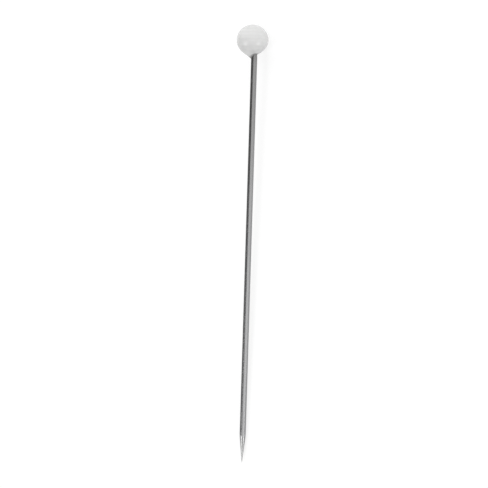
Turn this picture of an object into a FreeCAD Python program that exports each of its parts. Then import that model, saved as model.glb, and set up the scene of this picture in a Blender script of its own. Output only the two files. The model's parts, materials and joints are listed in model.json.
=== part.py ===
import FreeCAD, Part
import math
import os

import Sketcher

# Straight pin with a ball head, lying on the floor Z = 0. Millimetres.
# It lies along Y with its head towards +Y, as it comes to rest: on the ball and on the
# shoulder of its point. The origin is on the floor, under the middle of its length.
#
# Each body is drawn upright: Z runs up the axis of the wire, with the point down, from
# the lowest glass of the head. The ball's own axis lies beside it, towards -Y. Laid
# down, the ball's axis comes above the wire's, because the wire is the heavier side.

STEP_FOLDER = "parts"

# alias: (value, what it measures)
DIMENSIONS = {
    "total_length": (43.0, "top of the ball to the end of the point"),
    "wire_diameter": (0.60, "drawn steel wire of the shank"),
    "point_length": (3.0, "ground cone, with the blend into the wire"),
    "point_flat": (0.03, "diameter left at the very end of the point"),
    "shoulder_blend": (6.0, "radius where the cone runs out into the wire"),
    "ball_diameter": (3.08, "ball of melted glass"),
    "ball_offset": (0.25, "axis of the ball to axis of the wire"),
    "tail_diameter": (0.50, "end of the short tail where the glass ran down the wire"),
    "tail_drop": (0.17, "end of the tail below the bottom of the ball"),
    "glass_over_wire": (0.85, "top of the ball to the hidden end of the wire"),
    "held_end_diameter": (0.44, "hidden end of the wire, drawn to a slight taper"),
    "socket_gap": (0.0, "glass to wire, side and end: the glass shrinks onto the wire"),
}

HEAD_HEIGHT = "Dimensions.ball_diameter + Dimensions.tail_drop"
HELD_LENGTH = f"{HEAD_HEIGHT} - Dimensions.glass_over_wire"
FREE_LENGTH = f"Dimensions.total_length - ({HEAD_HEIGHT})"

FLAT = FreeCAD.Vector(0, 0, 1)


class PinSizes:
    """Radii and heights on the upright pin, worked out from the sheet."""

    def __init__(self, sheet):
        self.wire_radius = sheet.wire_diameter / 2
        self.tip_radius = sheet.point_flat / 2
        self.blend_radius = sheet.shoulder_blend
        self.ball_radius = sheet.ball_diameter / 2
        self.ball_offset = sheet.ball_offset
        self.tail_radius = sheet.tail_diameter / 2
        self.head_top = sheet.ball_diameter + sheet.tail_drop
        self.ball_height = sheet.tail_drop + self.ball_radius
        self.wire_top = self.head_top - sheet.glass_over_wire
        self.held_radius = sheet.held_end_diameter / 2
        self.tip_height = self.head_top - sheet.total_length
        self.shoulder_height = self.tip_height + sheet.point_length
        self.socket_gap = sheet.socket_gap


def make_sheet(document):
    """Spreadsheet with one driving dimension per row."""
    sheet = document.addObject("Spreadsheet::Sheet", "Dimensions")
    for row, (alias, (value, meaning)) in enumerate(DIMENSIONS.items(), start=1):
        sheet.set(f"A{row}", alias)
        sheet.set(f"B{row}", str(value))
        sheet.setAlias(f"B{row}", alias)
        sheet.set(f"C{row}", meaning)
    document.recompute()
    return sheet


def make_body(document, label):
    """Empty body named after its piece."""
    body = document.addObject("PartDesign::Body", label)
    body.Label = label
    return body


def sketch_on(body, role, name):
    """New sketch on the origin plane of the body that has this role."""
    plane = next(item for item in body.Origin.OriginFeatures if item.Role == role)
    sketch = body.newObject("Sketcher::SketchObject", name)
    sketch.AttachmentSupport = (plane, [""])
    sketch.MapMode = "FlatFace"
    return sketch


def bind(sketch, constraint, name, formula):
    """Named constraint whose value follows the spreadsheet."""
    index = sketch.addConstraint(constraint)
    sketch.renameConstraint(index, name)
    sketch.setExpression(f"Constraints.{name}", formula)


def polar(centre, radius, angle):
    """Point at this angle on a circle in the sketch."""
    return centre + radius * FreeCAD.Vector(math.cos(angle), math.sin(angle), 0)


def draw_lines(sketch, points):
    """Chain of joined lines through the points. Returns their indices."""
    lines = []
    for start, end in zip(points, points[1:]):
        lines.append(sketch.addGeometry(Part.LineSegment(start, end), False))
    for first, second in zip(lines, lines[1:]):
        sketch.addConstraint(Sketcher.Constraint("Coincident", first, 2, second, 1))
    return lines


def draw_arc(sketch, centre, radius, start, end):
    """Arc from one angle to another, anticlockwise. Returns its index."""
    circle = Part.Circle(centre, FLAT, radius)
    return sketch.addGeometry(Part.ArcOfCircle(circle, start, end), False)


def draw_shank_profile(body, size):
    """Half section of the wire and its ground point, between the wire's axis and +Y."""
    tip = FreeCAD.Vector(0, size.tip_height, 0)
    tip_edge = FreeCAD.Vector(size.tip_radius, size.tip_height, 0)
    shoulder = FreeCAD.Vector(size.wire_radius, size.shoulder_height, 0)
    mouth = FreeCAD.Vector(size.wire_radius, 0, 0)
    crop_edge = FreeCAD.Vector(size.held_radius, size.wire_top, 0)
    crop = FreeCAD.Vector(0, size.wire_top, 0)
    cone_angle = math.atan2(shoulder.x - tip_edge.x, shoulder.y - tip_edge.y)
    blend_centre = shoulder - FreeCAD.Vector(size.blend_radius, 0, 0)
    blend_foot = polar(blend_centre, size.blend_radius, -cone_angle)

    sketch = sketch_on(body, "YZ_Plane", "ShankProfile")
    make = Sketcher.Constraint
    axis, end, held, wall = draw_lines(sketch, [tip, crop, crop_edge, mouth, shoulder])
    cone, flat = draw_lines(sketch, [blend_foot, tip_edge, tip])
    blend = draw_arc(sketch, blend_centre, size.blend_radius, -cone_angle, 0)
    sketch.addConstraint(make("Tangent", wall, 2, blend, 2))
    sketch.addConstraint(make("Tangent", blend, 1, cone, 1))
    sketch.addConstraint(make("Coincident", flat, 2, axis, 1))
    sketch.addConstraint(make("PointOnObject", axis, 1, -2))
    sketch.addConstraint(make("PointOnObject", axis, 2, -2))
    sketch.addConstraint(make("PointOnObject", held, 2, -1))
    sketch.addConstraint(make("Horizontal", end))
    sketch.addConstraint(make("Vertical", wall))
    sketch.addConstraint(make("Horizontal", flat))
    bind(sketch, make("DistanceX", -1, 1, held, 2, size.wire_radius),
         "wire_radius", "Dimensions.wire_diameter / 2")
    bind(sketch, make("DistanceX", end, 1, end, 2, size.held_radius),
         "held_radius", "Dimensions.held_end_diameter / 2")
    bind(sketch, make("DistanceX", flat, 2, flat, 1, size.tip_radius),
         "tip_radius", "Dimensions.point_flat / 2")
    bind(sketch, make("Radius", blend, size.blend_radius),
         "shoulder_blend", "Dimensions.shoulder_blend")
    bind(sketch, make("DistanceY", -1, 1, axis, 2, size.wire_top),
         "held_length", HELD_LENGTH)
    bind(sketch, make("DistanceY", axis, 1, -1, 1, -size.tip_height),
         "free_length", FREE_LENGTH)
    bind(sketch, make("DistanceY", cone, 2, wall, 2, shoulder.y - tip.y),
         "point_length", "Dimensions.point_length")
    return sketch


def draw_head_profile(body, size):
    """Half section of the ball and its tail, on the +Y side of the ball's own axis."""
    centre = FreeCAD.Vector(-size.ball_offset, size.ball_height, 0)
    crown = FreeCAD.Vector(-size.ball_offset, size.head_top, 0)
    foot = FreeCAD.Vector(-size.ball_offset, 0, 0)
    foot_edge = FreeCAD.Vector(size.tail_radius - size.ball_offset, 0, 0)
    # the flank leaves the edge of the foot and touches the ball at this angle below its middle
    reach = math.hypot(size.tail_radius, size.ball_height)
    below = math.atan2(size.ball_height, size.tail_radius)
    below -= math.acos(size.ball_radius / reach)
    flank_top = polar(centre, size.ball_radius, -below)

    sketch = sketch_on(body, "YZ_Plane", "HeadProfile")
    make = Sketcher.Constraint
    axis, base, flank = draw_lines(sketch, [crown, foot, foot_edge, flank_top])
    ball = draw_arc(sketch, centre, size.ball_radius, -below, math.pi / 2)
    sketch.addConstraint(make("Tangent", flank, 2, ball, 1))
    sketch.addConstraint(make("Coincident", ball, 2, axis, 1))
    sketch.addConstraint(make("PointOnObject", ball, 3, axis))
    sketch.addConstraint(make("Vertical", axis))
    sketch.addConstraint(make("Horizontal", base))
    sketch.addConstraint(make("PointOnObject", axis, 2, -1))
    bind(sketch, make("DistanceX", axis, 2, -1, 1, size.ball_offset),
         "ball_offset", "Dimensions.ball_offset")
    bind(sketch, make("DistanceX", base, 1, base, 2, size.tail_radius),
         "tail_radius", "Dimensions.tail_diameter / 2")
    bind(sketch, make("Radius", ball, size.ball_radius),
         "ball_radius", "Dimensions.ball_diameter / 2")
    bind(sketch, make("DistanceY", -1, 1, ball, 3, size.ball_height),
         "ball_height", "Dimensions.tail_drop + Dimensions.ball_diameter / 2")
    return sketch


def draw_socket_profile(body, size):
    """Half section of the room that the held end of the wire takes in the glass."""
    mouth_radius = size.wire_radius + size.socket_gap
    floor_radius = size.held_radius + size.socket_gap
    depth = size.wire_top + size.socket_gap
    middle = FreeCAD.Vector(0, 0, 0)
    mouth_edge = FreeCAD.Vector(mouth_radius, 0, 0)
    floor_edge = FreeCAD.Vector(floor_radius, depth, 0)
    floor_middle = FreeCAD.Vector(0, depth, 0)

    sketch = sketch_on(body, "YZ_Plane", "SocketProfile")
    make = Sketcher.Constraint
    mouth, side, end, axis = draw_lines(
        sketch, [middle, mouth_edge, floor_edge, floor_middle, middle])
    sketch.addConstraint(make("Coincident", axis, 2, mouth, 1))
    sketch.addConstraint(make("Coincident", mouth, 1, -1, 1))
    sketch.addConstraint(make("Horizontal", mouth))
    sketch.addConstraint(make("Horizontal", end))
    sketch.addConstraint(make("Vertical", axis))
    bind(sketch, make("DistanceX", mouth, 1, mouth, 2, mouth_radius),
         "mouth_radius", "Dimensions.wire_diameter / 2 + Dimensions.socket_gap")
    bind(sketch, make("DistanceX", end, 2, end, 1, floor_radius),
         "floor_radius", "Dimensions.held_end_diameter / 2 + Dimensions.socket_gap")
    bind(sketch, make("DistanceY", side, 1, side, 2, depth),
         "depth", f"{HELD_LENGTH} + Dimensions.socket_gap")
    return sketch


def build_shank(document, size):
    """Straight steel wire with a ground point. Its cropped end is held in the head."""
    body = make_body(document, "shank")
    profile = draw_shank_profile(body, size)
    wire = body.newObject("PartDesign::Revolution", "Wire")
    wire.Profile = profile
    wire.ReferenceAxis = (profile, ["V_Axis"])
    wire.Angle = 360
    return body


def build_head(document, size):
    """Glass ball with a short tail, beside the wire's axis, and a blind socket for the wire."""
    body = make_body(document, "head")
    profile = draw_head_profile(body, size)
    glass = body.newObject("PartDesign::Revolution", "Glass")
    glass.Profile = profile
    glass.ReferenceAxis = (profile, ["Edge1"])
    glass.Angle = 360

    room = draw_socket_profile(body, size)
    socket = body.newObject("PartDesign::Groove", "WireSocket")
    socket.Profile = room
    socket.ReferenceAxis = (room, ["V_Axis"])
    socket.Angle = 360
    return body


def slope_between(high, high_radius, low, low_radius):
    """Rise of the wire's axis when two circles of the profile both touch the floor."""
    span = high - low
    on_floor = math.asin((high_radius - low_radius) / span.Length)
    return on_floor - math.atan2(span.y, span.x)


def lying_placement(size):
    """Where the upright pin goes to lie at rest, head towards +Y."""
    # in the plane of the two axes: x along the wire towards the head, y up
    ball = FreeCAD.Vector(size.ball_height, size.ball_offset, 0)
    blend = FreeCAD.Vector(size.shoulder_height, size.blend_radius - size.wire_radius, 0)
    tip_edge = FreeCAD.Vector(size.tip_height, -size.tip_radius, 0)
    slope = min(
        slope_between(ball, size.ball_radius, blend, size.blend_radius),
        slope_between(ball, size.ball_radius, tip_edge, 0),
    )
    along, rise = math.cos(slope), math.sin(slope)
    ball_forward = ball.x * along - ball.y * rise
    tip_forward = size.tip_height * along - size.tip_radius * rise
    middle = (ball_forward + size.ball_radius + tip_forward) / 2
    height = size.ball_radius - ball.x * rise - ball.y * along
    turn = FreeCAD.Rotation(FreeCAD.Vector(1, 0, 0), math.degrees(slope) - 90)
    return FreeCAD.Placement(FreeCAD.Vector(0, -middle, height), turn)


def check(document, bodies):
    """Stops the build on any feature with an error and on any unsound solid."""
    for item in document.Objects:
        bad = {"Invalid", "Error"} & set(item.State)
        if bad:
            raise RuntimeError(f"{item.Label} is {', '.join(sorted(bad))}")
        if item.isDerivedFrom("Sketcher::SketchObject") and item.solve() != 0:
            raise RuntimeError(f"sketch {item.Label} can't be solved")
    for body in bodies:
        shape = body.Shape
        if shape.isNull() or not shape.isValid() or len(shape.Solids) != 1:
            raise RuntimeError(f"{body.Label} isn't one sound solid")


def export(bodies):
    """One STEP file per physical piece."""
    os.makedirs(STEP_FOLDER, exist_ok=True)
    for body in bodies:
        body.Shape.exportStep(f"{STEP_FOLDER}/{body.Label}.step")


document = FreeCAD.newDocument("StraightPin")
size = PinSizes(make_sheet(document))
bodies = [build_head(document, size), build_shank(document, size)]
for body in bodies:
    body.Placement = lying_placement(size)
document.recompute()
check(document, bodies)
export(bodies)
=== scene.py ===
import json
import logging
import math
from collections.abc import Mapping, Sequence
from dataclasses import dataclass
from enum import Enum

import bmesh
import bpy
from mathutils import Matrix, Vector, noise


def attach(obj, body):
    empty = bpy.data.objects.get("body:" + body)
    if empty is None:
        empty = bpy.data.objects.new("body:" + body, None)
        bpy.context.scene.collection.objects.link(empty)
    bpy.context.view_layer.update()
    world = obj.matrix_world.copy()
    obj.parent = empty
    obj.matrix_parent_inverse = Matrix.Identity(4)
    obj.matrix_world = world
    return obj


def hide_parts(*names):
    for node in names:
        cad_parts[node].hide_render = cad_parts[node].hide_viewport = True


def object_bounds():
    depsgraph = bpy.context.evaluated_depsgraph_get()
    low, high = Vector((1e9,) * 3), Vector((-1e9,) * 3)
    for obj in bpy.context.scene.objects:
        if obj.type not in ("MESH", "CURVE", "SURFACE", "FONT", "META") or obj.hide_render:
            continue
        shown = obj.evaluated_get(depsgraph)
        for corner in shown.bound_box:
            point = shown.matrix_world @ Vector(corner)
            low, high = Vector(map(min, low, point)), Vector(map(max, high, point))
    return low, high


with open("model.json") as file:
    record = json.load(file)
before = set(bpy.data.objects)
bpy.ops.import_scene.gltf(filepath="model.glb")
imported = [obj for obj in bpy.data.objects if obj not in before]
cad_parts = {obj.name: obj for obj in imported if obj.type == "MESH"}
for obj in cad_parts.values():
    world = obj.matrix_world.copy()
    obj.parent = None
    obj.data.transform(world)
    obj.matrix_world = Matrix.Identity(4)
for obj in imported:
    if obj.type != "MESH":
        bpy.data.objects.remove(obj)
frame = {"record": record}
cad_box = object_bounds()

# Straight pin with a white glass ball head, lying on a pale floor.
# Each piece is shaped upright in millimetres: z runs up the axis of the wire from the
# mouth of the glass, with the point down, and the ball's own axis lies towards +y.
# Lie.matrix() then lays it down in the frame, in metres.

MM = 0.001
log = logging.getLogger("straight_pin")

Colour = tuple[float, float, float, float]
Span = tuple[float, float]
Socket = bpy.types.NodeSocket
Sockets = Mapping[str, Socket]


class Slot(Enum):
    """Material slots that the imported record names."""

    GLASS = "glass_head"
    WIRE = "plated_wire"


class Node(Enum):
    """CAD nodes that the pieces here stand for."""

    HEAD = "head"
    SHANK = "shank"


BODY = "root"

# where the camera stands, in degrees above the floor on the +x side of the pin
CAMERA_ELEVATION = 55.0


@dataclass(frozen=True)
class Lie:
    """How the pin lies in the frame, as the record's shank mount gives it.

    Attributes:
        mouth: Where the wire's axis leaves the glass, in metres.
        up_wire: Direction of the wire towards the head.
        wire_radius: Radius of the drawn wire, in millimetres.
    """

    mouth: Vector
    up_wire: Vector
    wire_radius: float

    @classmethod
    def from_record(cls, record: dict) -> "Lie":
        """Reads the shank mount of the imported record.

        Args:
            record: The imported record.

        Returns:
            The pin's lie in the frame.
        """
        mount = record["mounts"][0]
        direction = -Vector(mount["axis"]).normalized()
        return cls(Vector(mount["pos_m"]), direction, mount["dims"]["r_mm"])

    def matrix(self) -> Matrix:
        """Gives the matrix from the upright shape to the frame, a turn and a move."""
        side = Vector((-1, 0, 0))
        return turned(side, self.up_wire.cross(side), self.up_wire, self.mouth)


def tail_side() -> float:
    """Angle round the wire, in radians, of the side that the camera sees on its left."""
    return math.radians(90 - CAMERA_ELEVATION)


def picture_right() -> Vector:
    """Direction in the frame that runs level to the right in the picture."""
    angle = math.radians(CAMERA_ELEVATION)
    return Vector((math.sin(angle), 0, -math.cos(angle)))


def turned(right: Vector, up: Vector, back: Vector, place: Vector) -> Matrix:
    """Gives the matrix that turns x, y and z to these directions and moves to the place."""
    return Matrix.Translation(place) @ Matrix((right, up, back)).transposed().to_4x4()


def put_in_scene(name: str, data: bpy.types.ID) -> bpy.types.Object:
    """Makes an object and links it to the scene.

    Args:
        name: Its name.
        data: Its mesh, lamp or camera.

    Returns:
        The object.
    """
    made = bpy.data.objects.new(name, data)
    bpy.context.scene.collection.objects.link(made)
    return made


def angles_round(count: int) -> list[float]:
    """Lists that many angles, evenly spaced round a circle, in radians."""
    return [math.tau * i / count for i in range(count)]


def beside_wire(angle: float, radius: float, height: float) -> Vector:
    """Gives the point at this angle and distance from the wire's axis, at a height."""
    return Vector((radius * math.cos(angle), radius * math.sin(angle), height))


def skin_rings(
    name: str,
    rings: Sequence[Sequence[Vector]],
    poles: tuple[Vector, Vector],
    sharp: Sequence[int] = (),
) -> bpy.types.Object:
    """Joins rings of points into one closed, smooth mesh, given in millimetres.

    Args:
        name: Name of the piece.
        rings: Rings with the same number of points each, from one pole to the other.
        poles: The points that close the first and the last ring.
        sharp: Numbers of the rings whose edges stay sharp.

    Returns:
        The new object, with its mesh in metres.
    """
    made = bmesh.new()
    loops = [[made.verts.new(point * MM) for point in ring] for ring in rings]
    caps = [made.verts.new(point * MM) for point in poles]
    around = len(loops[0])
    steps = [(i, (i + 1) % around) for i in range(around)]
    for upper, lower in zip(loops, loops[1:]):
        for i, j in steps:
            made.faces.new((upper[i], upper[j], lower[j], lower[i]))
    for i, j in steps:
        made.faces.new((caps[0], loops[0][j], loops[0][i]))
        made.faces.new((caps[1], loops[-1][i], loops[-1][j]))
    for number in sharp:
        for i, j in steps:
            made.edges.get((loops[number][i], loops[number][j])).smooth = False
    bmesh.ops.recalc_face_normals(made, faces=made.faces)
    for face in made.faces:
        face.smooth = True
    mesh = bpy.data.meshes.new(name)
    made.to_mesh(mesh)
    made.free()
    return put_in_scene(name, mesh)


def bezier(points: Sequence[Vector], share: float) -> Vector:
    """Gives a point of a cubic curve.

    Args:
        points: Its four control points.
        share: How far along, from 0 to 1.

    Returns:
        The point.
    """
    rest = 1 - share
    weights = (rest**3, 3 * rest**2 * share, 3 * rest * share**2, share**3)
    return sum((point * weight for point, weight in zip(points, weights)), Vector())


class Wiring:
    """Adds nodes to one tree and joins them."""

    def __init__(self, tree: bpy.types.NodeTree) -> None:
        """Keeps the tree that the nodes go into."""
        self.tree = tree

    def add(self, kind: str, *first: object, **named: object) -> bpy.types.Node:
        """Adds one node.

        Args:
            kind: Blender's name for the kind of node.
            first: What its first inputs get, in their order.
            named: Its settings, whose names are all lower case, and what its inputs get by
                name, with _ for a space.

        Returns:
            The node.
        """
        node = self.tree.nodes.new(kind)
        for name in filter(str.islower, named):
            setattr(node, name, named[name])
        values = dict(enumerate(first))
        values |= {name.replace("_", " "): named[name] for name in named if not name.islower()}
        for socket, value in values.items():
            self.feed(node.inputs[socket], value)
        return node

    def feed(self, target: Socket, value: object) -> None:
        """Gives an input its value.

        Args:
            target: The input.
            value: An output to link it to, or its plain value.
        """
        if isinstance(value, Socket):
            self.tree.links.new(value, target)
        else:
            target.default_value = value

    def maths(self, operation: str, *operands: object) -> Socket:
        """Adds a Math node for sockets or numbers, and gives its result."""
        return self.add("ShaderNodeMath", *operands, operation=operation).outputs[0]

    def bump(self, height: Socket, strength: float, depth: float) -> Socket:
        """Adds a Bump node with that strength and that depth in metres, and gives its normal."""
        node = self.add("ShaderNodeBump", Height=height, Strength=strength, Distance=depth)
        return node.outputs["Normal"]

    def length(self, vector: Socket) -> Socket:
        """Adds a node that gives how long a vector is."""
        return self.add("ShaderNodeVectorMath", vector, operation="LENGTH").outputs["Value"]

    def fit(self, value: object, span: Span, onto: Span = (0.0, 1.0)) -> Socket:
        """Maps a value smoothly from one span onto another.

        Args:
            value: The socket to map.
            span: Its own low and high value.
            onto: What these become.

        Returns:
            The mapped value, kept inside the new span.
        """
        numbers = (value, *span, *onto)
        node = self.add("ShaderNodeMapRange", *numbers, interpolation_type="SMOOTHSTEP")
        return node.outputs["Result"]

    def blend(self, share: object, first: object, second: object, way: str = "MIX") -> Socket:
        """Mixes two colours.

        Args:
            share: How much of the second colour, a socket or a number.
            first: The first colour, a socket or four numbers.
            second: The second colour.
            way: Name of the blend type.

        Returns:
            The mixed colour.
        """
        node = self.add("ShaderNodeMix", data_type="RGBA", blend_type=way)
        sockets = {socket.identifier: socket for socket in node.inputs if socket.enabled}
        wanted = {"Factor_Float": share, "A_Color": first, "B_Color": second}
        for name, value in wanted.items():
            self.feed(sockets[name], value)
        return next(socket for socket in node.outputs if socket.identifier == "Result_Color")


class NodeGroup:
    """A shader effect that both finishes use, built once.

    Attributes:
        name: Its name.
        inputs: Names of its plain inputs, which follow the vector Place.
        outputs: Names of its outputs.
    """

    name = ""
    inputs: tuple[str, ...] = ()
    outputs: tuple[str, ...] = ()

    def tree(self) -> bpy.types.NodeTree:
        """Gives the group's tree, and builds it the first time.

        Returns:
            The shader node group.
        """
        known = bpy.data.node_groups.get(self.name)
        if known:
            return known
        tree = bpy.data.node_groups.new(self.name, "ShaderNodeTree")
        add_socket = tree.interface.new_socket
        add_socket(name="Place", in_out="INPUT", socket_type="NodeSocketVector")
        for direction, names in (("INPUT", self.inputs), ("OUTPUT", self.outputs)):
            for name in names:
                add_socket(name=name, in_out=direction, socket_type="NodeSocketFloat")
        wiring = Wiring(tree)
        given = wiring.add("NodeGroupInput").outputs
        wiring.add("NodeGroupOutput", **self.fill(wiring, given))
        return tree

    def fill(self, wiring: Wiring, given: Sockets) -> Sockets:
        """Adds the nodes between the group's inputs and outputs, and gives the outputs."""
        raise NotImplementedError(self.name)

    def place(self, wiring: Wiring, **values: object) -> Sockets:
        """Puts the group with these inputs into a material, and gives its outputs."""
        return wiring.add("ShaderNodeGroup", node_tree=self.tree(), **values).outputs


class FineRelief(NodeGroup):
    """Small ups and downs of a surface, drawn out along the wire by Stretch.

    Attributes:
        finer: How many times as fine the second noise is.
        fine_share: How much of it there is in the height.
        streak_span: Low and high value of it that become no streak and a full one.
    """

    name = "FineRelief"
    finer = 2.7
    fine_share = 0.35
    streak_span = (0.30, 0.70)
    inputs = ("Scale", "Stretch", "Detail")
    outputs = ("Height", "Streak")

    def fill(self, wiring: Wiring, given: Sockets) -> Sockets:
        """Adds two sizes of noise, both drawn out along z.

        Args:
            wiring: The group's tree.
            given: Its inputs.

        Returns:
            Its outputs.
        """
        coarse = self.drawn_noise(wiring, given, 1.0)
        fine = self.drawn_noise(wiring, given, self.finer)
        height = wiring.maths("MULTIPLY_ADD", fine, self.fine_share, coarse)
        return {"Height": height, "Streak": wiring.fit(fine, self.streak_span)}

    def drawn_noise(self, wiring: Wiring, given: Sockets, finer: float) -> Socket:
        """Adds a noise texture that is drawn out along z.

        Args:
            wiring: The group's tree.
            given: Its inputs.
            finer: How many times as fine as Scale the noise is.

        Returns:
            The noise, from 0 to 1.
        """
        place = wiring.add("ShaderNodeSeparateXYZ", given["Place"]).outputs
        slow = wiring.maths("DIVIDE", place["Z"], given["Stretch"])
        texture = wiring.add(
            "ShaderNodeTexNoise",
            Vector=wiring.add("ShaderNodeCombineXYZ", place["X"], place["Y"], slow).outputs[0],
            Scale=wiring.maths("MULTIPLY", given["Scale"], finer),
            Detail=given["Detail"],
            Roughness=0.55,
        )
        return texture.outputs["Fac"]


class Handling(NodeGroup):
    """What fingers leave on a small bright thing: soft smears and a few specks.

    Attributes:
        smear_span: Values of the noise that become clean and fully smeared.
        clean_share: Share of the cells that hold no speck.
    """

    name = "Handling"
    smear_span = (0.42, 0.72)
    clean_share = 0.86
    inputs = ("Smear Scale", "Speck Scale", "Speck Size")
    outputs = ("Smear", "Speck")

    def fill(self, wiring: Wiring, given: Sockets) -> Sockets:
        """Adds warped noise for the smears and sparse cells for the specks.

        Args:
            wiring: The group's tree.
            given: Its inputs.

        Returns:
            Its outputs.
        """
        place = given["Place"]
        smear = wiring.add(
            "ShaderNodeTexNoise", Vector=place, Scale=given["Smear Scale"], Detail=2.0, Distortion=1.2
        )
        cells = wiring.add("ShaderNodeTexVoronoi", Vector=place, Scale=given["Speck Scale"]).outputs
        chosen = wiring.add("ShaderNodeSeparateColor", cells["Color"])
        rare = wiring.maths("GREATER_THAN", chosen.outputs[0], self.clean_share)
        near = wiring.maths("LESS_THAN", cells["Distance"], given["Speck Size"])
        return {
            "Smear": wiring.fit(smear.outputs["Fac"], self.smear_span),
            "Speck": wiring.maths("MULTIPLY", rare, near),
        }


def new_material(name: str) -> tuple[bpy.types.Material, Wiring]:
    """Makes a material with nothing in it.

    Args:
        name: Name of the material.

    Returns:
        The material and its wiring.
    """
    material = bpy.data.materials.new(name)
    material.use_nodes = True
    material.node_tree.nodes.clear()
    return material, Wiring(material.node_tree)


def grey(level: float) -> Colour:
    """Gives an opaque grey of that linear level."""
    return (level, level, level, 1.0)


def in_metres(span: Span) -> Span:
    """Gives a span of millimetres in metres."""
    return span[0] * MM, span[1] * MM


@dataclass(frozen=True)
class Touch:
    """How a finish shows that it was handled.

    Attributes:
        smear_scale: Fineness of the smears, in one metre.
        speck_scale: Fineness of the specks, the same way.
        speck_size: Size of a speck, as a share of its cell.
        speck_level: Level of a speck's own grey.
        speck_share: How much of that grey shows.
    """

    smear_scale: float
    speck_scale: float
    speck_size: float
    speck_level: float
    speck_share: float

    def place(self, wiring: Wiring, place: Socket) -> Sockets:
        """Puts the handling group into a material.

        Args:
            wiring: The material's tree.
            place: Place on the upright piece, in metres.

        Returns:
            What the group gives.
        """
        return Handling().place(
            wiring,
            Place=place,
            Smear_Scale=self.smear_scale,
            Speck_Scale=self.speck_scale,
            Speck_Size=self.speck_size,
        )

    def speckle(self, wiring: Wiring, touched: Sockets, colour: Socket) -> Socket:
        """Gives the colour with the handling group's specks on it."""
        specks = wiring.maths("MULTIPLY", touched["Speck"], self.speck_share)
        return wiring.blend(specks, colour, grey(self.speck_level))


@dataclass(frozen=True)
class MilkGlass:
    """Opaque white glass, melted in a flame.

    Attributes:
        body: Colour of the glass.
        thin_glass_and_shade: Colour near the wire: steel seen through thinner glass, and painted
            shade under its edge.
        edge: From the wire's axis, where that darker colour starts and ends, in millimetres.
        edge_top: Above the mouth, where it starts to fade and has gone, the same way.
        swirl_rings: How many faint rings lie in one metre along the ball's axis.
        swirl_levels: How light the glass is in a ring and between them.
        roughness: Roughness of clean glass, and where it was touched.
        cloudiness: Share of the light that goes into the glass and spreads there.
        depth: How far light spreads inside it, in millimetres.
        relief_scale: Fineness of its ups and downs, in one metre.
        pit_depth: How deep a speck lies, where the relief is 1.
        bump: Strength of the relief, and its height in metres.
        touch: How it was handled.
    """

    body: Colour = (0.762, 0.762, 0.757, 1.0)
    thin_glass_and_shade: Colour = (0.300, 0.298, 0.294, 1.0)
    edge: Span = (0.36, 0.60)
    edge_top: Span = (0.35, 0.60)
    swirl_rings: float = 900.0
    swirl_levels: Span = (0.975, 1.0)
    roughness: Span = (0.10, 0.20)
    cloudiness: float = 0.30
    depth: float = 0.35
    relief_scale: float = 2600.0
    pit_depth: float = 1.5
    bump: Span = (0.35, 0.0000015)
    touch: Touch = Touch(650.0, 3200.0, 0.055, 0.35, 0.30)

    def material(self) -> bpy.types.Material:
        """Builds the material.

        Returns:
            The glass.
        """
        material, wiring = new_material("milk_glass")
        place = wiring.add("ShaderNodeTexCoord").outputs["Object"]
        relief = FineRelief().place(
            wiring, Place=place, Scale=self.relief_scale, Stretch=1.0, Detail=2.0
        )
        touched = self.touch.place(wiring, place)
        pits = wiring.maths("MULTIPLY_ADD", touched["Speck"], -self.pit_depth, relief["Height"])
        glass = wiring.add(
            "ShaderNodeBsdfPrincipled",
            Base_Color=self.colour(wiring, place, touched),
            Roughness=wiring.fit(touched["Smear"], (0.0, 1.0), self.roughness),
            IOR=1.52,
            Subsurface_Weight=self.cloudiness,
            Subsurface_Scale=self.depth * MM,
            Subsurface_Radius=(1.0, 1.0, 1.0),
            Normal=wiring.bump(pits, *self.bump),
        )
        wiring.add("ShaderNodeOutputMaterial", Surface=glass.outputs[0])
        return material

    def colour(self, wiring: Wiring, place: Socket, touched: Sockets) -> Socket:
        """Adds the faint rings of the turned glass, its darker colour near the wire, partly painted
        shade, and its specks.

        Args:
            wiring: The material's tree.
            place: Place on the upright head, in metres.
            touched: What the handling group gives.

        Returns:
            The colour.
        """
        rings = wiring.add(
            "ShaderNodeTexWave",
            Vector=place,
            Scale=self.swirl_rings,
            Distortion=5.0,
            Detail=3.0,
            Detail_Scale=1.4,
            bands_direction="Z",
        )
        faint = wiring.fit(rings.outputs["Fac"], (0.0, 1.0), self.swirl_levels)
        tinted = wiring.blend(1.0, self.body, faint, "MULTIPLY")
        split = wiring.add("ShaderNodeSeparateXYZ", place).outputs
        across = wiring.add("ShaderNodeCombineXYZ", split["X"], split["Y"])
        away = wiring.length(across.outputs[0])
        # near the wire the glass is darker: partly steel seen through thinner glass, partly painted
        # shade under the glass's edge
        near_wire = wiring.fit(away, in_metres(self.edge), (1.0, 0.0))
        low = wiring.fit(split["Z"], in_metres(self.edge_top), (1.0, 0.0))
        thin_glass_and_shade = wiring.maths("MULTIPLY", near_wire, low)
        edged = wiring.blend(thin_glass_and_shade, tinted, self.thin_glass_and_shade)
        return self.touch.speckle(wiring, touched, edged)


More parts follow.
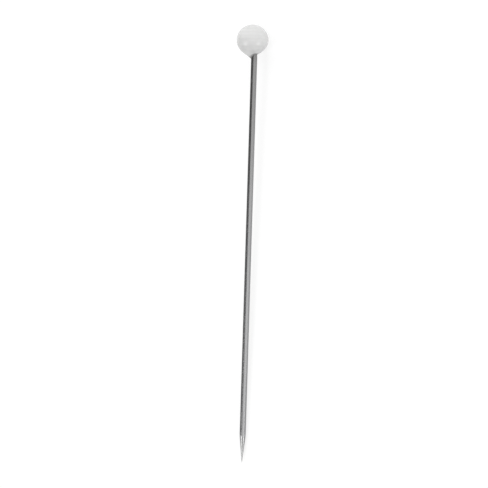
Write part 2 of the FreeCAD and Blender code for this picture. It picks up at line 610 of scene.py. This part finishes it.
@dataclass(frozen=True)
class PlatedSteel:
    """Drawn steel wire with thin bright plating and a ground point.

    Attributes:
        bright: Colour of the plating away from the head.
        painted_head_shade: Colour next to the glass: painted shade, darker, for the wire's darker
            reflection towards the head.
        ground: Colour of the bare ground point.
        painted_rim_shade: Level of the tint that darkens the metal seen edge on: painted shade on the
            wire's edges.
        head_shade_span: Where that painted shade starts and where it has gone, in metres up the wire.
        mouth_band: Where the wire's darkening at the glass has gone and where it is darkest, the same
            way.
        mouth_band_level: Level of that darkening's own grey.
        mouth_band_share: How much of that grey shows there.
        point: Where the ground point starts and where it is all bare, the same way.
        line_levels: How light the metal is between the die's lines and in one.
        roughness: Roughness between the die's lines and in one.
        smeared: Roughness that a smear adds.
        unpolished: Roughness that the ground point adds.
        line_scale: Fineness of the die's lines round the wire, in one metre.
        line_stretch: How many times as long as wide they are.
        grind_scale: Fineness of the grinding on the point, in one metre.
        grind_stretch: How many times as long as wide its marks are.
        bump: Strength of the relief, and its height in metres.
        touch: How it was handled.
    """

    bright: Colour = (0.400, 0.400, 0.404, 1.0)
    painted_head_shade: Colour = (0.345, 0.343, 0.341, 1.0)
    ground: Colour = (0.400, 0.400, 0.400, 1.0)
    painted_rim_shade: float = 0.60
    head_shade_span: Span = (0.0, -0.020)
    mouth_band: Span = (-0.0007, 0.0005)
    mouth_band_level: float = 0.22
    mouth_band_share: float = 0.35
    point: Span = (-0.0369, -0.0376)
    line_levels: Span = (0.90, 1.03)
    roughness: Span = (0.16, 0.26)
    smeared: float = 0.05
    unpolished: float = 0.04
    line_scale: float = 14000.0
    line_stretch: float = 150.0
    grind_scale: float = 22000.0
    grind_stretch: float = 9.0
    bump: Span = (0.5, 0.0000012)
    touch: Touch = Touch(900.0, 7000.0, 0.10, 0.20, 0.35)

    def material(self) -> bpy.types.Material:
        """Builds the material.

        Returns:
            The plated steel.
        """
        material, wiring = new_material("plated_steel")
        place = wiring.add("ShaderNodeTexCoord").outputs["Object"]
        up_wire = wiring.add("ShaderNodeSeparateXYZ", place).outputs["Z"]
        lines = FineRelief().place(
            wiring, Place=place, Scale=self.line_scale, Stretch=self.line_stretch, Detail=4.0
        )
        grinding = FineRelief().place(
            wiring, Place=place, Scale=self.grind_scale, Stretch=self.grind_stretch, Detail=4.0
        )
        touched = self.touch.place(wiring, place)
        bare = wiring.fit(up_wire, self.point)
        streak = wiring.fit(lines["Streak"], (0.0, 1.0), self.roughness)
        smeared = wiring.maths("MULTIPLY_ADD", touched["Smear"], self.smeared, streak)
        drawn = wiring.maths("SUBTRACT", 1.0, bare)
        relief = wiring.maths(
            "ADD",
            wiring.maths("MULTIPLY", lines["Height"], drawn),
            wiring.maths("MULTIPLY", grinding["Height"], bare),
        )
        steel = wiring.add(
            "ShaderNodeBsdfPrincipled",
            Base_Color=self.colour(wiring, up_wire, bare, lines, touched),
            Metallic=1.0,
            # the grey tint darkens the metal where it is seen edge on: painted shade on the wire's
            # edges
            Specular_Tint=grey(self.painted_rim_shade),
            Roughness=wiring.maths("MULTIPLY_ADD", bare, self.unpolished, smeared),
            Normal=wiring.bump(relief, *self.bump),
        )
        wiring.add("ShaderNodeOutputMaterial", Surface=steel.outputs[0])
        return material

    def colour(
        self, wiring: Wiring, up_wire: Socket, bare: Socket, lines: Sockets, touched: Sockets
    ) -> Socket:
        """Adds painted shade towards the head, the die's lines, darkening where the wire meets the
        glass, and specks.

        Args:
            wiring: The material's tree.
            up_wire: Height on the upright pin, in metres.
            bare: Mask of the ground point.
            lines: What the relief group gives for the die's lines.
            touched: What the handling group gives.

        Returns:
            The colour.
        """
        # painted shade: the wire's colour darkens towards the head, for its darker reflection there
        unshaded = wiring.fit(up_wire, self.head_shade_span, (1.0, 0.0))
        plated = wiring.blend(unshaded, self.bright, self.painted_head_shade)
        whole = wiring.blend(bare, plated, self.ground)
        line = wiring.fit(lines["Streak"], (0.0, 1.0), self.line_levels)
        lined = wiring.blend(1.0, whole, line, "MULTIPLY")
        # the wire is darker where it meets the glass
        mouth_band = wiring.fit(up_wire, self.mouth_band, (0.0, self.mouth_band_share))
        mouth_banded = wiring.blend(mouth_band, lined, grey(self.mouth_band_level))
        return self.touch.speckle(wiring, touched, mouth_banded)


@dataclass
class Piece:
    """What both pieces share: the end of the wire that the glass holds.

    Attributes:
        wire_radius: Radius of the drawn wire.
        held_radius: Radius of its hidden end.
        held_end: Height of that end above the mouth of the glass.
    """

    wire_radius: float = 0.30
    held_radius: float = 0.22
    held_end: float = 2.40

    def held_at(self, height: float) -> float:
        """Gives the radius of the wire inside the glass at a height."""
        share = height / self.held_end
        return self.wire_radius + (self.held_radius - self.wire_radius) * share


@dataclass
class GlassHead(Piece):
    """The ball of glass on the end of the wire, with the mouth that the wire leaves by.

    The outer skin is a slightly flat ball about its own axis. Towards the wire it turns
    into a flank that runs to the lip of the mouth: on the tail's side as a tail that ran
    down the wire, and on the other side as a flat place that stops short.

    Attributes:
        ball_radii: Across the ball to the side, and from the wire's axis outwards.
        ball_half_height: Half the ball's size along its own axis.
        ball_offset: From the wire's axis to the ball's own.
        ball_aside: How far the ball's axis also lies to the side.
        top: Height of the ball's top above the mouth.
        tail_drop: How far the tail runs down the wire below the mouth.
        lip_rise: How much higher than the mouth the lip is away from the tail.
        tail_width: How narrow the tail is, as a power: 1 is half the way round.
        ball_end: Angle from the ball's top at which the flank starts, on the tail's side
            and away from it, in degrees.
        flank_reach: How far the flank keeps on as it leaves the ball, as a share of its
            length, the same way.
        lip_angle: How steeply the flank comes down to the lip, in degrees, the same way.
        lip_reach: How far it keeps on that way, as a share of its length.
        unevenness: How far the melted skin strays from its form.
        loose_from: Distance from the wire at which it strays that far.
        wave_rates: How close its slow and its quick ups and downs lie, in one millimetre.
        quick_share: How much of the quick ones there is.
        inset: How far the whole skin lies further in, as a share of unevenness.
        around: Number of points in a ring.
        ball_rings: Number of rings on the ball.
        flank_rings: The same on the flank.
        socket_rings: The same in the socket.
    """

    ball_radii: Span = (1.565, 1.538)
    ball_half_height: float = 1.52
    ball_offset: float = 0.25
    ball_aside: float = 0.075
    top: float = 3.25
    tail_drop: float = 0.08
    lip_rise: float = 0.34
    tail_width: float = 3.0
    ball_end: Span = (140.0, 100.0)
    flank_reach: Span = (0.36, 0.27)
    lip_angle: Span = (42.0, 23.0)
    lip_reach: float = 0.36
    unevenness: float = 0.006
    loose_from: float = 0.5
    wave_rates: Span = (0.9, 2.6)
    quick_share: float = 0.35
    inset: float = 0.6
    around: int = 160
    ball_rings: int = 72
    flank_rings: int = 26
    socket_rings: int = 10

    def between(self, pair: Span, angle: float) -> float:
        """Blends a pair, for the tail's side and the other, at an angle round the wire."""
        away = (1 - math.cos(angle - tail_side())) / 2
        return pair[0] + (pair[1] - pair[0]) * away

    def centre(self) -> Vector:
        """Gives the middle of the ball."""
        return Vector((self.ball_aside, self.ball_offset, self.top - self.ball_half_height))

    def on_ball(self, angle: float, down: float) -> Vector:
        """Gives a point of the plain ball.

        Args:
            angle: Angle round the ball's axis.
            down: Angle from the ball's top.

        Returns:
            The point.
        """
        out = math.sin(down)
        return self.centre() + Vector(
            (
                self.ball_radii[0] * out * math.cos(angle),
                self.ball_radii[1] * out * math.sin(angle),
                self.ball_half_height * math.cos(down),
            )
        )

    def lip(self, angle: float) -> Vector:
        """Gives the point of the lip on the wire.

        Args:
            angle: Angle round the wire.

        Returns:
            The point, lowest on the tail's side.
        """
        tail = ((1 + math.cos(angle - tail_side())) / 2) ** self.tail_width
        height = self.lip_rise * (1 - tail) - self.tail_drop * tail
        return beside_wire(angle, self.held_at(max(0.0, height)), height)

    def flank(self, angle: float) -> list[Vector]:
        """Gives the control points of the flank from the ball to the lip at an angle.

        Args:
            angle: Angle round the wire.

        Returns:
            Four control points.
        """
        down = math.radians(self.between(self.ball_end, angle))
        start, end = self.on_ball(angle, down), self.lip(angle)
        length = (end - start).length
        step = 0.01
        leave = (self.on_ball(angle, down + step) - start).normalized()
        steep = math.radians(self.between(self.lip_angle, angle))
        arrive = -beside_wire(angle, math.cos(steep), math.sin(steep))
        reach = length * self.between(self.flank_reach, angle)
        return [start, start + leave * reach, end - arrive * (length * self.lip_reach), end]

    def rings(self) -> list[list[Vector]]:
        """Lays out the rings from the ball's top over the lip and up to the socket's end.

        Returns:
            The rings.
        """
        angles = angles_round(self.around)
        downs = [math.radians(self.between(self.ball_end, a)) for a in angles]
        curves = [self.flank(a) for a in angles]
        made = []
        for row in range(1, self.ball_rings + 1):
            share = row / self.ball_rings
            made.append([self.on_ball(a, share * down) for a, down in zip(angles, downs)])
        for row in range(1, self.flank_rings + 1):
            made.append([bezier(curve, row / self.flank_rings) for curve in curves])
        made = [[self.melted(point) for point in ring] for ring in made]
        lips = made[-1]
        for row in range(1, self.socket_rings + 1):
            share = row / self.socket_rings
            heights = [lip.z + (self.held_end - lip.z) * share for lip in lips]
            made.append([beside_wire(a, self.held_at(z), z) for a, z in zip(angles, heights)])
        return made

    def melted(self, point: Vector) -> Vector:
        """Moves a point of the outer skin a little, as melted glass is never quite even.

        Args:
            point: The point of the plain form.

        Returns:
            The moved point. Glass on the wire doesn't move.
        """
        from_wire = math.hypot(point.x, point.y) - self.wire_radius
        loose = min(1.0, max(0.0, from_wire / self.loose_from)) ** 2
        out = (point - self.centre()).normalized()
        # each of the two is read at a place of its own
        slow = noise.noise(point * self.wave_rates[0] + Vector((3.1, 0.4, 7.7)))
        quick = noise.noise(point * self.wave_rates[1] + Vector((9.2, 5.5, 1.3)))
        wave = slow + self.quick_share * quick - self.inset
        return point + out * (loose * self.unevenness * wave)

    def build(self, lie: Lie, finish: MilkGlass) -> bpy.types.Object:
        """Makes the piece and sets it in the frame.

        Args:
            lie: How the pin lies.
            finish: The glass.

        Returns:
            The piece.
        """
        lip_ring = self.ball_rings + self.flank_rings - 1
        last_ring = lip_ring + self.socket_rings
        poles = (self.melted(self.on_ball(0, 0)), Vector((0, 0, self.held_end)))
        piece = skin_rings("glass_ball_head", self.rings(), poles, (lip_ring, last_ring))
        piece.matrix_world = lie.matrix()
        piece.data.materials.append(finish.material())
        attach(piece, BODY)
        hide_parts(Node.HEAD.value)
        return piece


@dataclass
class WireShank(Piece):
    """The wire: cropped and tapered inside the glass, drawn, and ground to a point.

    Attributes:
        tip: Height of the point's very end above the mouth.
        point_length: Length of the ground point.
        blend_radius: Radius of the curve by which the wire runs into the cone.
        tip_radius: Radius of the rounded very end.
        crop_round: How far the edge of the cropped end is rounded.
        crop_corner: How far in the middle of that rounding lies, as a share of it.
        crop_ring: Radius of the inner ring on the cropped end, as a share of its own.
        cone_limit: Half the widest cone that is tried for the point, in radians.
        halvings: How many times the cones still in question are halved.
        die_wave: How far the drawn wire strays from round.
        die_rates: How close its waves lie across and along the wire, in one millimetre.
        grind_wave: How far the ground point strays from round.
        grind_rates: How close its waves lie, the same way.
        grind_start: Distance over which the second kind takes over from the first.
        around: Number of points in a ring.
        held_rings: Number of rings on the hidden end.
        straight_rings: The same on the straight wire.
        point_rings: The same on the ground point.
        tip_rings: The same on its rounded very end.
    """

    tip: float = -39.75
    point_length: float = 3.0
    blend_radius: float = 6.0
    tip_radius: float = 0.018
    crop_round: float = 0.03
    crop_corner: float = 0.3
    crop_ring: float = 0.55
    cone_limit: float = 0.4
    halvings: int = 50
    die_wave: float = 0.0008
    die_rates: Span = (7.0, 0.12)
    grind_wave: float = 0.0022
    grind_rates: Span = (9.0, 1.1)
    grind_start: float = 0.6
    around: int = 72
    held_rings: int = 8
    straight_rings: int = 150
    point_rings: int = 72
    tip_rings: int = 8

    def shoulder(self) -> float:
        """Gives the height at which the ground point starts."""
        return self.tip + self.point_length

    def cone_angle(self) -> float:
        """Finds the cone that touches both the blend and the rounded end.

        Returns:
            Half the cone's angle, in radians.
        """
        low, high = 0.0, self.cone_limit
        for _ in range(self.halvings):
            angle = (low + high) / 2
            if self.cone_radius(angle, self.tip + self.tip_radius) > self.tip_radius:
                low = angle
            else:
                high = angle
        return low

    def cone_radius(self, angle: float, height: float) -> float:
        """Gives the radius of the ground point at a height.

        Args:
            angle: Half the cone's angle.
            height: The height.

        Returns:
            The radius, on the blend or on the cone.
        """
        down = self.shoulder() - height
        blend_end = self.blend_radius * math.sin(angle)
        if down < blend_end:
            sag = self.blend_radius - math.sqrt(self.blend_radius**2 - down**2)
            return self.wire_radius - sag
        sag = self.blend_radius * (1 - math.cos(angle))
        return self.wire_radius - sag - (down - blend_end) * math.tan(angle)

    def profile(self) -> list[tuple[float, float]]:
        """Lists the height and radius of each ring from the hidden end to the point.

        Returns:
            Pairs of height and radius.
        """
        corner = self.crop_round * self.crop_corner
        made = [
            (self.held_end, self.held_radius * self.crop_ring),
            (self.held_end, self.held_radius - self.crop_round),
            (self.held_end - corner, self.held_radius - corner),
            (self.held_end - self.crop_round, self.held_radius),
        ]
        for row in range(1, self.held_rings + 1):
            height = (self.held_end - self.crop_round) * (1 - row / self.held_rings)
            made.append((height, self.held_at(height)))
        for row in range(1, self.straight_rings + 1):
            made.append((self.shoulder() * row / self.straight_rings, self.wire_radius))
        angle = self.cone_angle()
        end = self.tip + self.tip_radius
        for row in range(1, self.point_rings + 1):
            height = self.shoulder() + (end - self.shoulder()) * row / self.point_rings
            made.append((height, self.cone_radius(angle, height)))
        for row in range(1, self.tip_rings):
            turn = math.pi / 2 * row / self.tip_rings
            made.append((end - self.tip_radius * math.sin(turn), self.tip_radius * math.cos(turn)))
        return made

    def rings(self) -> list[list[Vector]]:
        """Makes the rings, each a little out of round.

        Returns:
            The rings from the hidden end to the point.
        """
        angles = angles_round(self.around)
        made = []
        for height, radius in self.profile():
            on_point = min(1.0, max(0.0, (self.shoulder() - height) / self.grind_start))
            thick = radius / self.wire_radius
            ring = [beside_wire(a, radius, height) for a in angles]
            made.append([self.worked(point, on_point, thick) for point in ring])
        return made

    def worked(self, point: Vector, on_point: float, thick: float) -> Vector:
        """Moves a point of the wire's skin as the die and the grinding wheel leave it.

        Args:
            point: The point of the plain form.
            on_point: How far it is onto the ground point, from 0 to 1.
            thick: How thick the wire is there, as a share.

        Returns:
            The moved point.
        """
        across, along = self.die_rates
        drawn = noise.noise(Vector((point.x * across, point.y * across, point.z * along)))
        across, along = self.grind_rates
        # 4 aside, so that this isn't the same noise again
        ground = noise.noise(Vector((point.x * across + 4, point.y * across, point.z * along)))
        wave = self.die_wave * drawn * (1 - on_point) + self.grind_wave * ground * on_point
        out = Vector((point.x, point.y, 0)).normalized()
        return point + out * (wave * thick - self.die_wave / 2)

    def build(self, lie: Lie, finish: PlatedSteel) -> bpy.types.Object:
        """Makes the piece and sets it in the frame.

        Args:
            lie: How the pin lies.
            finish: The plated steel.

        Returns:
            The piece.
        """
        poles = (Vector((0, 0, self.held_end)), Vector((0, 0, self.tip)))
        piece = skin_rings("drawn_wire_shank", self.rings(), poles, (1,))
        piece.matrix_world = lie.matrix()
        piece.data.materials.append(finish.material())
        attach(piece, BODY)
        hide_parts(Node.SHANK.value)
        return piece


@dataclass(frozen=True)
class SoftLamp:
    """A soft flat lamp that points at the pin.

    Attributes:
        name: Its name.
        towards: Direction from the pin to the lamp.
        distance: How far away it is, in metres.
        size: Its two sides, in metres, the first of them level in the picture.
        brightness: Radiance of its face, where 1 renders as white.
        mirrored: Whether it shows in reflections.
    """

    name: str
    towards: tuple[float, float, float]
    distance: float
    size: Span
    brightness: float
    mirrored: bool

    def hang(self, target: Vector) -> None:
        """Makes the lamp.

        Args:
            target: What it points at.
        """
        data = bpy.data.lights.new(self.name, "AREA")
        data.shape = "RECTANGLE"
        data.size, data.size_y = self.size
        data.energy = self.brightness * math.pi * self.size[0] * self.size[1]
        direction = Vector(self.towards).normalized()
        upright = direction.cross(picture_right()).normalized()
        place = target + direction * self.distance
        lamp = put_in_scene(self.name, data)
        lamp.matrix_world = turned(upright.cross(direction), upright, direction, place)
        lamp.visible_camera = False
        lamp.visible_glossy = self.mirrored


@dataclass(frozen=True)
class Studio:
    """A pale floor in a grey room with soft lamps.

    Attributes:
        floor_half: Half the floor's side, in metres.
        floor_level: How light the floor's own colour is.
        floor_shown: How much of it the camera and reflections see, with its shadows.
        floor_lift: White that is added to that for the camera.
        far_lift: More of it far from the pin, so that the floor runs into the background.
        far: How far from the pin this starts and is whole, in metres.
        mirrored_lift: White that is added to it in reflections, where the card is greyer.
        along_levels: Light of the room against the y of its direction, from the point's
            end to the head's.
        shade_from: Angle up from the +x side of the floor to the middle of the room's dark
            strip, in degrees.
        shade_edge: Cosines from that middle at which the strip begins and is fully dark.
        shade_reach: The y of its direction up to which it is fully dark, and dark at all.
        shade_depth: How much darker it is.
        lit_height: Height above the floor of the spot that the lamps point at, in metres.
        lamps: The lamps.
    """

    floor_half: float = 1.5
    floor_level: float = 0.80
    floor_shown: float = 0.32
    floor_lift: float = 0.735
    far_lift: float = 0.10
    far: Span = (0.08, 0.30)
    mirrored_lift: float = 0.56
    along_levels: tuple[Span, ...] = (
        (-1.0, 0.50), (-0.50, 0.62), (-0.30, 0.95), (-0.12, 1.36), (0.0, 1.02),
        (0.12, 0.74), (0.35, 0.76), (0.65, 0.90), (1.0, 1.00),
    )
    shade_from: float = 130.0
    shade_edge: Span = (0.50, 0.72)
    shade_reach: Span = (0.15, 0.30)
    shade_depth: float = 0.86
    lit_height: float = 0.0015
    lamps: tuple[SoftLamp, ...] = (
        SoftLamp("head_side_panel", (0.27, 0.90, 0.34), 0.50, (0.62, 0.30), 0.82, False),
        SoftLamp("left_fill_panel", (-0.66, 0.50, 0.56), 0.50, (0.45, 0.45), 0.65, False),
        SoftLamp("left_soft_lamp", (-0.375, -0.41, 0.835), 0.60, (0.20, 0.20), 4.2, True),
        SoftLamp("right_soft_lamp", (0.911, -0.41, 0.07), 0.60, (0.20, 0.20), 4.3, True),
    )

    def build(self) -> None:
        """Makes the floor, the room's light and the lamps."""
        self.floor()
        self.room()
        for lamp in self.lamps:
            lamp.hang(Vector((0, 0, self.lit_height)))

    def floor(self) -> None:
        """Makes the floor."""
        half = self.floor_half
        mesh = bpy.data.meshes.new("pale_floor")
        corners = [(-half, -half, 0), (half, -half, 0), (half, half, 0), (-half, half, 0)]
        mesh.from_pydata(corners, [], [(0, 1, 2, 3)])
        mesh.materials.append(self.floor_material())
        floor = put_in_scene("pale_floor", mesh)

    def floor_material(self) -> bpy.types.Material:
        """Builds the floor's material: matt, with white added where it is seen.

        Returns:
            The material.
        """
        material, wiring = new_material("pale_card")
        path = wiring.add("ShaderNodeLightPath").outputs
        camera = path["Is Camera Ray"]
        mirrored = wiring.maths("MAXIMUM", path["Is Glossy Ray"], path["Is Transmission Ray"])
        seen = wiring.maths("MAXIMUM", camera, mirrored)
        own = wiring.blend(seen, grey(self.floor_level), grey(self.floor_shown))
        matt = wiring.add("ShaderNodeBsdfDiffuse", Color=own)
        in_mirror = wiring.maths("MULTIPLY", mirrored, self.mirrored_lift)
        place = wiring.add("ShaderNodeNewGeometry").outputs["Position"]
        lifts = (self.floor_lift, self.floor_lift + self.far_lift)
        for_camera = wiring.fit(wiring.length(place), self.far, lifts)
        lift = wiring.maths("MULTIPLY_ADD", camera, for_camera, in_mirror)
        white = wiring.add("ShaderNodeEmission", Color=grey(1.0), Strength=lift)
        both = wiring.add("ShaderNodeAddShader", matt.outputs[0], white.outputs[0])
        wiring.add("ShaderNodeOutputMaterial", Surface=both.outputs[0])
        return material

    def room(self) -> None:
        """Lights the room by direction, and makes it white for the camera."""
        world = bpy.data.worlds.new("grey_room")
        world.use_nodes = True
        world.node_tree.nodes.clear()
        bpy.context.scene.world = world
        wiring = Wiring(world.node_tree)
        direction = wiring.add("ShaderNodeTexCoord").outputs["Generated"]
        along = wiring.add("ShaderNodeSeparateXYZ", direction).outputs["Y"]
        shade = self.dark_strip(wiring, direction, along)
        level = wiring.maths("MULTIPLY", self.level_along(wiring, along), shade)
        camera = wiring.add("ShaderNodeLightPath").outputs["Is Camera Ray"]
        shown = wiring.add("ShaderNodeMix", Factor=camera, A=level, B=1.0, data_type="FLOAT")
        light = wiring.add("ShaderNodeBackground", Color=grey(1.0), Strength=shown.outputs[0])
        wiring.add("ShaderNodeOutputWorld", Surface=light.outputs[0])

    def level_along(self, wiring: Wiring, along: Socket) -> Socket:
        """Adds the room's light from the point's end to the head's.

        Args:
            wiring: The world's tree.
            along: The y of the direction.

        Returns:
            The light.
        """
        position = wiring.maths("MULTIPLY_ADD", along, 0.5, 0.5)
        ramp = wiring.add("ShaderNodeValToRGB", position)
        ramp.color_ramp.interpolation = "EASE"
        stops = ramp.color_ramp.elements
        stops[0].position, stops[1].position = 0.0, 1.0
        stops[0].color = grey(self.along_levels[0][1])
        stops[1].color = grey(self.along_levels[-1][1])
        for y, level in self.along_levels[1:-1]:
            stops.new(y / 2 + 0.5).color = grey(level)
        return ramp.outputs["Color"]

    def dark_strip(self, wiring: Wiring, direction: Socket, along: Socket) -> Socket:
        """Adds the strip of the room whose reflection darkens one side of the wire.

        Args:
            wiring: The world's tree.
            direction: The direction.
            along: Its y.

        Returns:
            How much light is left, 1 outside the strip.
        """
        angle = math.radians(self.shade_from)
        middle = Vector((math.cos(angle), 0, math.sin(angle)))
        facing = wiring.add("ShaderNodeVectorMath", direction, middle, operation="DOT_PRODUCT")
        over = wiring.fit(facing.outputs["Value"], self.shade_edge)
        beside = wiring.maths("ABSOLUTE", along)
        abreast = wiring.fit(beside, self.shade_reach, (self.shade_depth, 0.0))
        return wiring.maths("SUBTRACT", 1.0, wiring.maths("MULTIPLY", over, abreast))


@dataclass(frozen=True)
class PhotoCamera:
    """A camera square to the pin, looking down on it from its side.

    Attributes:
        elevation: Its angle above the floor, in degrees.
        lean: How far the wire leans to the right of upright in the picture, in degrees.
        lens: Focal length, in millimetres.
        sensor: Width of the picture behind the lens, in millimetres.
        picture_share: Length of the pin as a share of the picture's side.
        clip: The nearest and the farthest that it sees, in metres.
    """

    elevation: float = CAMERA_ELEVATION
    lean: float = 1.75
    lens: float = 150.0
    sensor: float = 36.0
    picture_share: float = 0.90
    clip: Span = (0.01, 10.0)

    def build(self, lie: Lie) -> None:
        """Makes the camera and gives it to the scene.

        Args:
            lie: How the pin lies.
        """
        low, high = cad_box
        length = high.y - low.y
        distance = self.lens / self.sensor * length / self.picture_share
        angle = math.radians(self.elevation)
        back = Vector((math.cos(angle), 0, math.sin(angle)))
        wire = (lie.up_wire - back * lie.up_wire.dot(back)).normalized()
        upright = Matrix.Rotation(math.radians(self.lean), 3, back) @ wire
        place = (low + high) / 2 + back * distance
        data = bpy.data.cameras.new("photo_camera")
        data.lens, data.sensor_width = self.lens, self.sensor
        data.clip_start, data.clip_end = self.clip
        camera = put_in_scene("photo_camera", data)
        camera.matrix_world = turned(upright.cross(back), upright, back, place)
        bpy.context.scene.camera = camera


def main() -> None:
    """Builds the pin, the studio and the camera, and reports each piece."""
    logging.basicConfig(level=logging.INFO, format="%(name)s: %(message)s")
    bpy.context.scene.view_settings.view_transform = "Standard"
    lie = Lie.from_record(frame["record"])
    pieces = [
        GlassHead(wire_radius=lie.wire_radius).build(lie, MilkGlass()),
        WireShank(wire_radius=lie.wire_radius).build(lie, PlatedSteel()),
    ]
    for piece in pieces:
        log.info("%s: %d faces", piece.name, len(piece.data.polygons))
    Studio().build()
    PhotoCamera().build(lie)
    log.info("studio and camera are in place")


if __name__ == "__main__":
    main()
